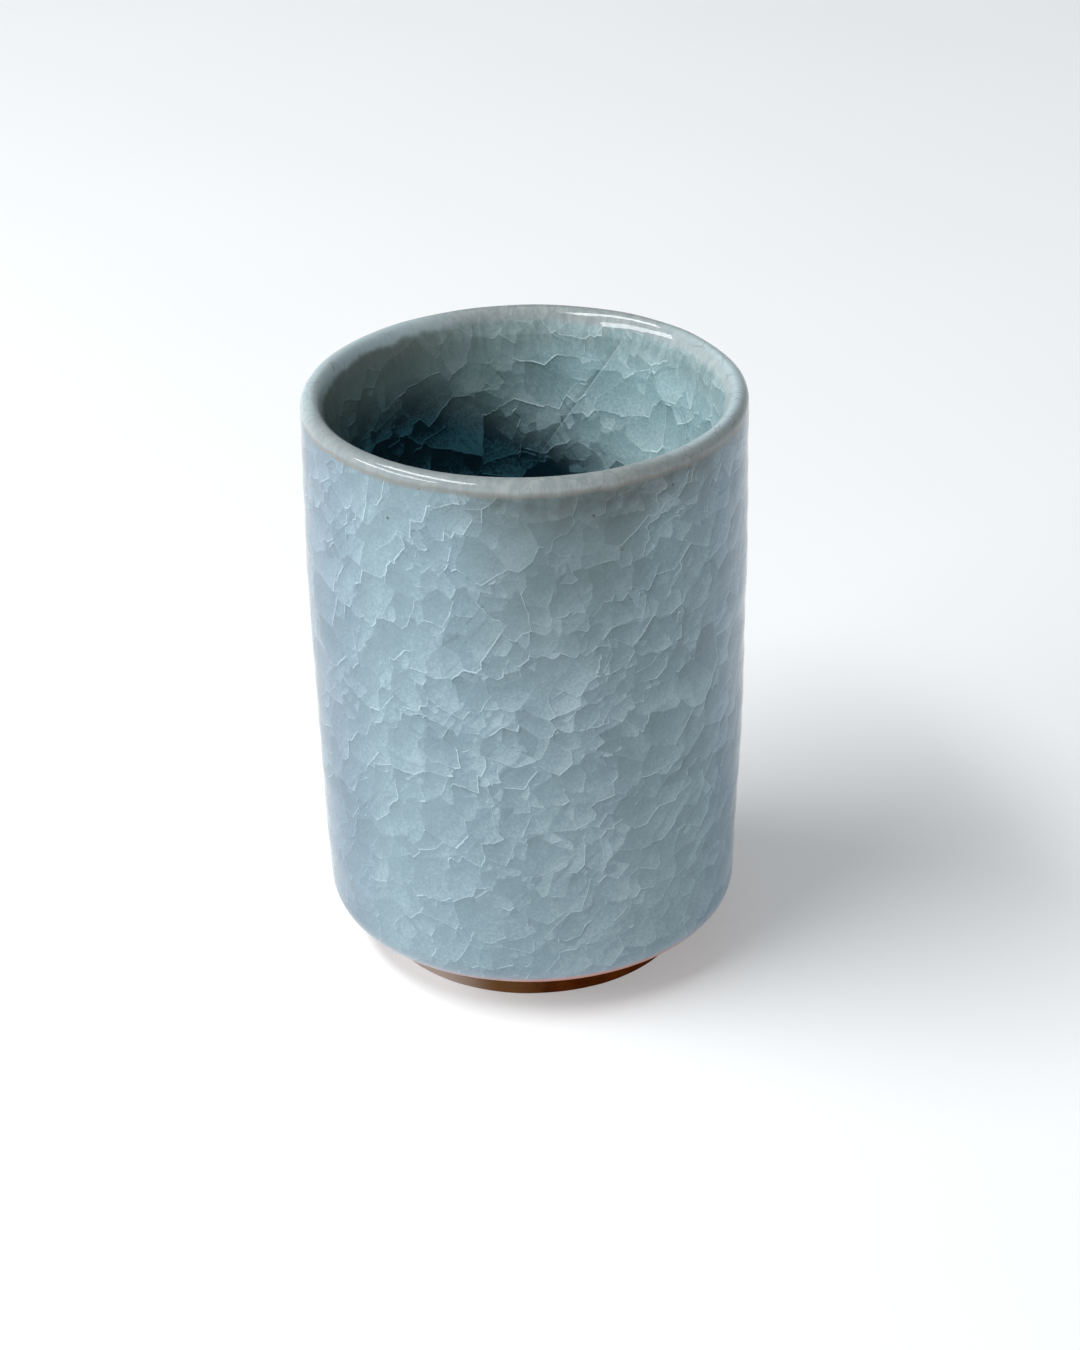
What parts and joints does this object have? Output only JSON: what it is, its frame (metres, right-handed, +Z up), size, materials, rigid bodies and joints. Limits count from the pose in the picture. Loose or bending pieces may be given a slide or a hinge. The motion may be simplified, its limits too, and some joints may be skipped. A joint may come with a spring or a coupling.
{
  "type": "brush holder pot",
  "caption": "Straight-sided crackle-glazed stoneware pot with a rounded lip and a bare turned foot, for standing brushes and pens in.",
  "frame": {"origin": "centre of the foot ring, on the surface that the pot stands on", "axes": "+Z up along the pot's axis of turning; X and Y are equivalent, and the pictured side faces -Y"},
  "size_m": [0.0802, 0.0802, 0.11],
  "materials": {
    "stoneware": "matt",
    "bare_foot": "matt",
    "crackle_glaze": "glossy, crackled",
    "lip_glaze": "glossy",
    "well_glaze": "glossy, crackled",
    "recess_glaze": "glossy"
  },
  "bodies": {
    "root": {"clay_body": "stoneware", "foot_ring": "bare_foot", "outer_glaze": "crackle_glaze", "rim_glaze": "lip_glaze", "inner_glaze": "well_glaze", "underside_glaze": "recess_glaze"}
  },
  "joints": []
}
